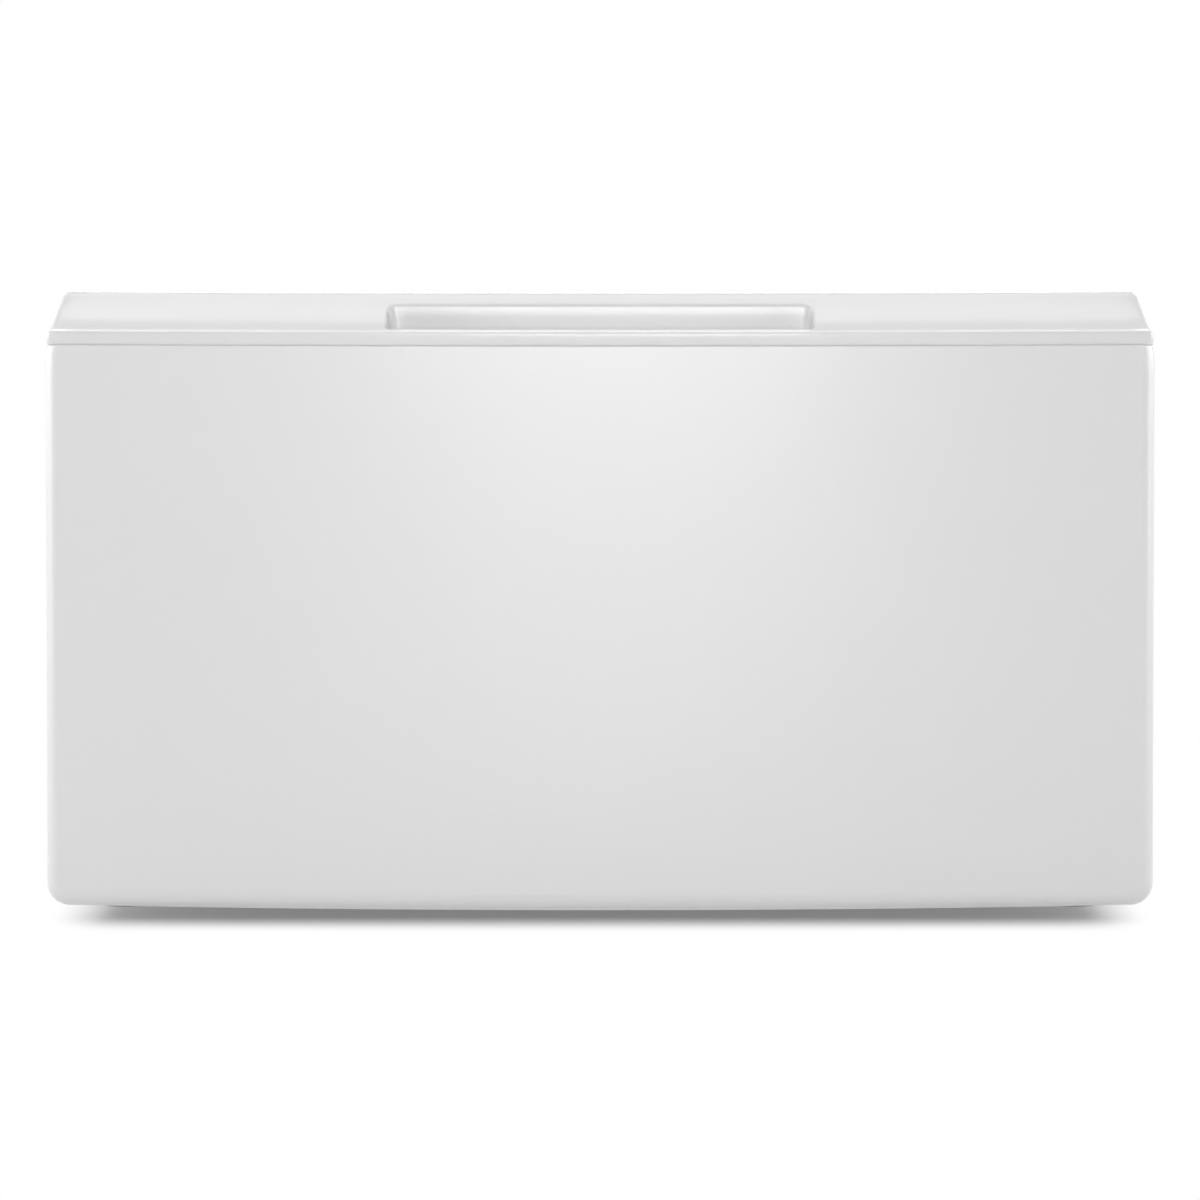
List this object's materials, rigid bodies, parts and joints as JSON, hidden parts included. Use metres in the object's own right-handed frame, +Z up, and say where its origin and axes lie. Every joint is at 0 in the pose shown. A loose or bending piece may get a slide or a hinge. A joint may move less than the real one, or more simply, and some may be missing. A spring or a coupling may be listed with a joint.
{
  "type": "laundry pedestal",
  "caption": "White storage pedestal for a laundry appliance: sheet-steel cabinet on levelling feet with a bowed drawer front, moulded handle trim with a finger pocket, and telescopic slides.",
  "frame": {"origin": "centre of the bounding box in X and Y, at the level of the floor under the foot pads", "axes": "+Z up, +X to the right as seen from the front, the drawer front faces -Y"},
  "size_m": [0.686, 0.651, 0.394],
  "materials": {
    "front_paint": "gloss white",
    "handle_plastic": "gloss white",
    "cabinet_paint": "semi-gloss white",
    "divider_plastic": "satin",
    "zinc_steel": "zinc plated",
    "zinc_fastener": "zinc plated",
    "bearing_steel": "polished",
    "retainer_steel": "rolled",
    "black_plastic": "matt",
    "black_rubber": "matt"
  },
  "bodies": {
    "cabinet": {"side_panel_left": "cabinet_paint", "side_panel_right": "cabinet_paint", "rear_panel": "cabinet_paint", "top_plate": "cabinet_paint", "front_top_rail": "cabinet_paint", "front_base_rail": "cabinet_paint", "rear_base_rail": "cabinet_paint", "slide_channel_left": "zinc_steel", "slide_channel_right": "zinc_steel", "slide_outer_left": "zinc_steel", "slide_outer_right": "zinc_steel", "foot_bracket_front_left": "zinc_steel", "foot_bracket_front_right": "zinc_steel", "foot_bracket_rear_left": "zinc_steel", "foot_bracket_rear_right": "zinc_steel", "weld_nuts": "zinc_fastener", "lock_nuts": "zinc_fastener", "cabinet_screws": "zinc_fastener", "slide_rivets": "zinc_fastener", "drawer_bumpers": "black_rubber"},
    "drawer": {"drawer_front_panel": "front_paint", "handle_trim": "handle_plastic", "drawer_inner_panel": "cabinet_paint", "drawer_base": "cabinet_paint", "drawer_side_left": "cabinet_paint", "drawer_side_right": "cabinet_paint", "drawer_rear_wall": "cabinet_paint", "divider_rail": "cabinet_paint", "slide_inner_left": "zinc_steel", "slide_inner_right": "zinc_steel", "front_screws": "zinc_fastener", "trim_screws": "zinc_fastener", "drawer_rivets": "zinc_fastener"},
    "divider": {"divider": "divider_plastic"},
    "middle_member_left": {"slide_middle_left": "zinc_steel"},
    "outer_cage_left": {"outer_retainer_left": "retainer_steel", "outer_balls_left": "bearing_steel"},
    "inner_cage_left": {"inner_retainer_left": "retainer_steel", "inner_balls_left": "bearing_steel"},
    "lever_left": {"release_lever_left": "black_plastic"},
    "middle_member_right": {"slide_middle_right": "zinc_steel"},
    "outer_cage_right": {"outer_retainer_right": "retainer_steel", "outer_balls_right": "bearing_steel"},
    "inner_cage_right": {"inner_retainer_right": "retainer_steel", "inner_balls_right": "bearing_steel"},
    "lever_right": {"release_lever_right": "black_plastic"},
    "foot_front_left": {"foot_pad_front_left": "black_rubber"},
    "stem_front_left": {"foot_stem_front_left": "zinc_fastener"},
    "foot_front_right": {"foot_pad_front_right": "black_rubber"},
    "stem_front_right": {"foot_stem_front_right": "zinc_fastener"},
    "foot_rear_left": {"foot_pad_rear_left": "black_rubber"},
    "stem_rear_left": {"foot_stem_rear_left": "zinc_fastener"},
    "foot_rear_right": {"foot_pad_rear_right": "black_rubber"},
    "stem_rear_right": {"foot_stem_rear_right": "zinc_fastener"}
  },
  "joints": [
    {"name": "drawer_slide", "type": "slide", "parent": "cabinet", "child": "drawer", "axis": [0, -1, 0], "range_m": [0, 0.48]},
    {"name": "middle_member_left_slide", "type": "slide", "parent": "cabinet", "child": "middle_member_left", "axis": [0, -1, 0], "range_m": [0, 0.24]},
    {"name": "outer_cage_left_slide", "type": "slide", "parent": "cabinet", "child": "outer_cage_left", "axis": [0, -1, 0], "range_m": [0, 0.12]},
    {"name": "inner_cage_left_slide", "type": "slide", "parent": "cabinet", "child": "inner_cage_left", "axis": [0, -1, 0], "range_m": [0, 0.36]},
    {"name": "lever_left_tilt", "type": "hinge", "parent": "drawer", "child": "lever_left", "pos_m": [-0.3065, -0.137, 0.15], "axis": [1, 0, 0], "range_deg": [-5, 5], "stiffness_Nm_per_rad": 0.05},
    {"name": "middle_member_right_slide", "type": "slide", "parent": "cabinet", "child": "middle_member_right", "axis": [0, -1, 0], "range_m": [0, 0.24]},
    {"name": "outer_cage_right_slide", "type": "slide", "parent": "cabinet", "child": "outer_cage_right", "axis": [0, -1, 0], "range_m": [0, 0.12]},
    {"name": "inner_cage_right_slide", "type": "slide", "parent": "cabinet", "child": "inner_cage_right", "axis": [0, -1, 0], "range_m": [0, 0.36]},
    {"name": "lever_right_tilt", "type": "hinge", "parent": "drawer", "child": "lever_right", "pos_m": [0.3065, -0.137, 0.15], "axis": [1, 0, 0], "range_deg": [-5, 5], "stiffness_Nm_per_rad": 0.05},
    {"name": "divider_slide", "type": "slide", "parent": "drawer", "child": "divider", "axis": [1, 0, 0], "range_m": [-0.24, 0.24]},
    {"name": "foot_front_left_lift", "type": "slide", "parent": "cabinet", "child": "foot_front_left", "axis": [0, 0, -1], "range_m": [0, 0.024]},
    {"name": "stem_front_left_turn", "type": "hinge", "parent": "foot_front_left", "child": "stem_front_left", "pos_m": [-0.3028, -0.122, 0.01], "axis": [0, 0, 1], "range_deg": [0, 5761]},
    {"name": "foot_front_right_lift", "type": "slide", "parent": "cabinet", "child": "foot_front_right", "axis": [0, 0, -1], "range_m": [0, 0.024]},
    {"name": "stem_front_right_turn", "type": "hinge", "parent": "foot_front_right", "child": "stem_front_right", "pos_m": [0.3028, -0.122, 0.01], "axis": [0, 0, 1], "range_deg": [0, 5761]},
    {"name": "foot_rear_left_lift", "type": "slide", "parent": "cabinet", "child": "foot_rear_left", "axis": [0, 0, -1], "range_m": [0, 0.024]},
    {"name": "stem_rear_left_turn", "type": "hinge", "parent": "foot_rear_left", "child": "stem_rear_left", "pos_m": [-0.3028, 0.2661, 0.01], "axis": [0, 0, 1], "range_deg": [0, 5761]},
    {"name": "foot_rear_right_lift", "type": "slide", "parent": "cabinet", "child": "foot_rear_right", "axis": [0, 0, -1], "range_m": [0, 0.024]},
    {"name": "stem_rear_right_turn", "type": "hinge", "parent": "foot_rear_right", "child": "stem_rear_right", "pos_m": [0.3028, 0.2661, 0.01], "axis": [0, 0, 1], "range_deg": [0, 5761]}
  ],
  "couplings": [
    {"joint": "middle_member_left_slide", "follows": "drawer_slide", "ratio": 0.5},
    {"joint": "outer_cage_left_slide", "follows": "drawer_slide", "ratio": 0.25},
    {"joint": "inner_cage_left_slide", "follows": "drawer_slide", "ratio": 0.75},
    {"joint": "middle_member_right_slide", "follows": "drawer_slide", "ratio": 0.5},
    {"joint": "outer_cage_right_slide", "follows": "drawer_slide", "ratio": 0.25},
    {"joint": "inner_cage_right_slide", "follows": "drawer_slide", "ratio": 0.75},
    {"joint": "stem_front_left_turn", "follows": "foot_front_left_lift", "rad_per_m": 4188.8},
    {"joint": "stem_front_right_turn", "follows": "foot_front_right_lift", "rad_per_m": 4188.8},
    {"joint": "stem_rear_left_turn", "follows": "foot_rear_left_lift", "rad_per_m": 4188.8},
    {"joint": "stem_rear_right_turn", "follows": "foot_rear_right_lift", "rad_per_m": 4188.8}
  ]
}
